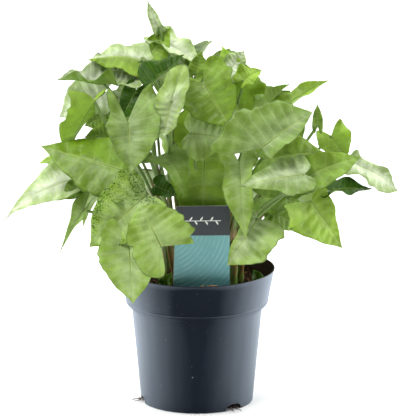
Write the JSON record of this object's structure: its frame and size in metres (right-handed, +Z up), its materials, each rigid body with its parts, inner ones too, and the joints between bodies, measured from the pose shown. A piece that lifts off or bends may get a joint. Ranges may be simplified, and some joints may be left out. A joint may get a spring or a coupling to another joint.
{
  "type": "arrowhead plant",
  "caption": "Bushy potted arrowhead plant: arrow-shaped leaves on slender stalks over a tapered nursery pot filled with peat, with a stick-in plant label.",
  "frame": {"origin": "on the ground under the middle of the pot, which is within 2.5 mm of the middle of the whole plant's width and depth", "axes": "+Z up, -Y the side that the label faces, +X to the right of someone who looks at the label"},
  "size_m": [0.3026, 0.2466, 0.3131],
  "materials": {
    "pot": "satin",
    "soil": "matte",
    "label": "satin",
    "root": "matte",
    "leaf": "satin"
  },
  "bodies": {
    "root": {"pot": "pot", "peat": "soil", "label": "label", "roots_right": "root", "roots_left": "root", "shoot_far_left": "leaf", "shoot_left_front": "leaf", "shoot_left": "leaf", "shoot_top": "leaf", "shoot_front_left": "leaf", "shoot_middle": "leaf", "shoot_top_right": "leaf", "shoot_right_front": "leaf", "shoot_front_right": "leaf", "shoot_right": "leaf", "shoot_back_right": "leaf", "shoot_back": "leaf", "shoot_back_left": "leaf"}
  },
  "joints": []
}
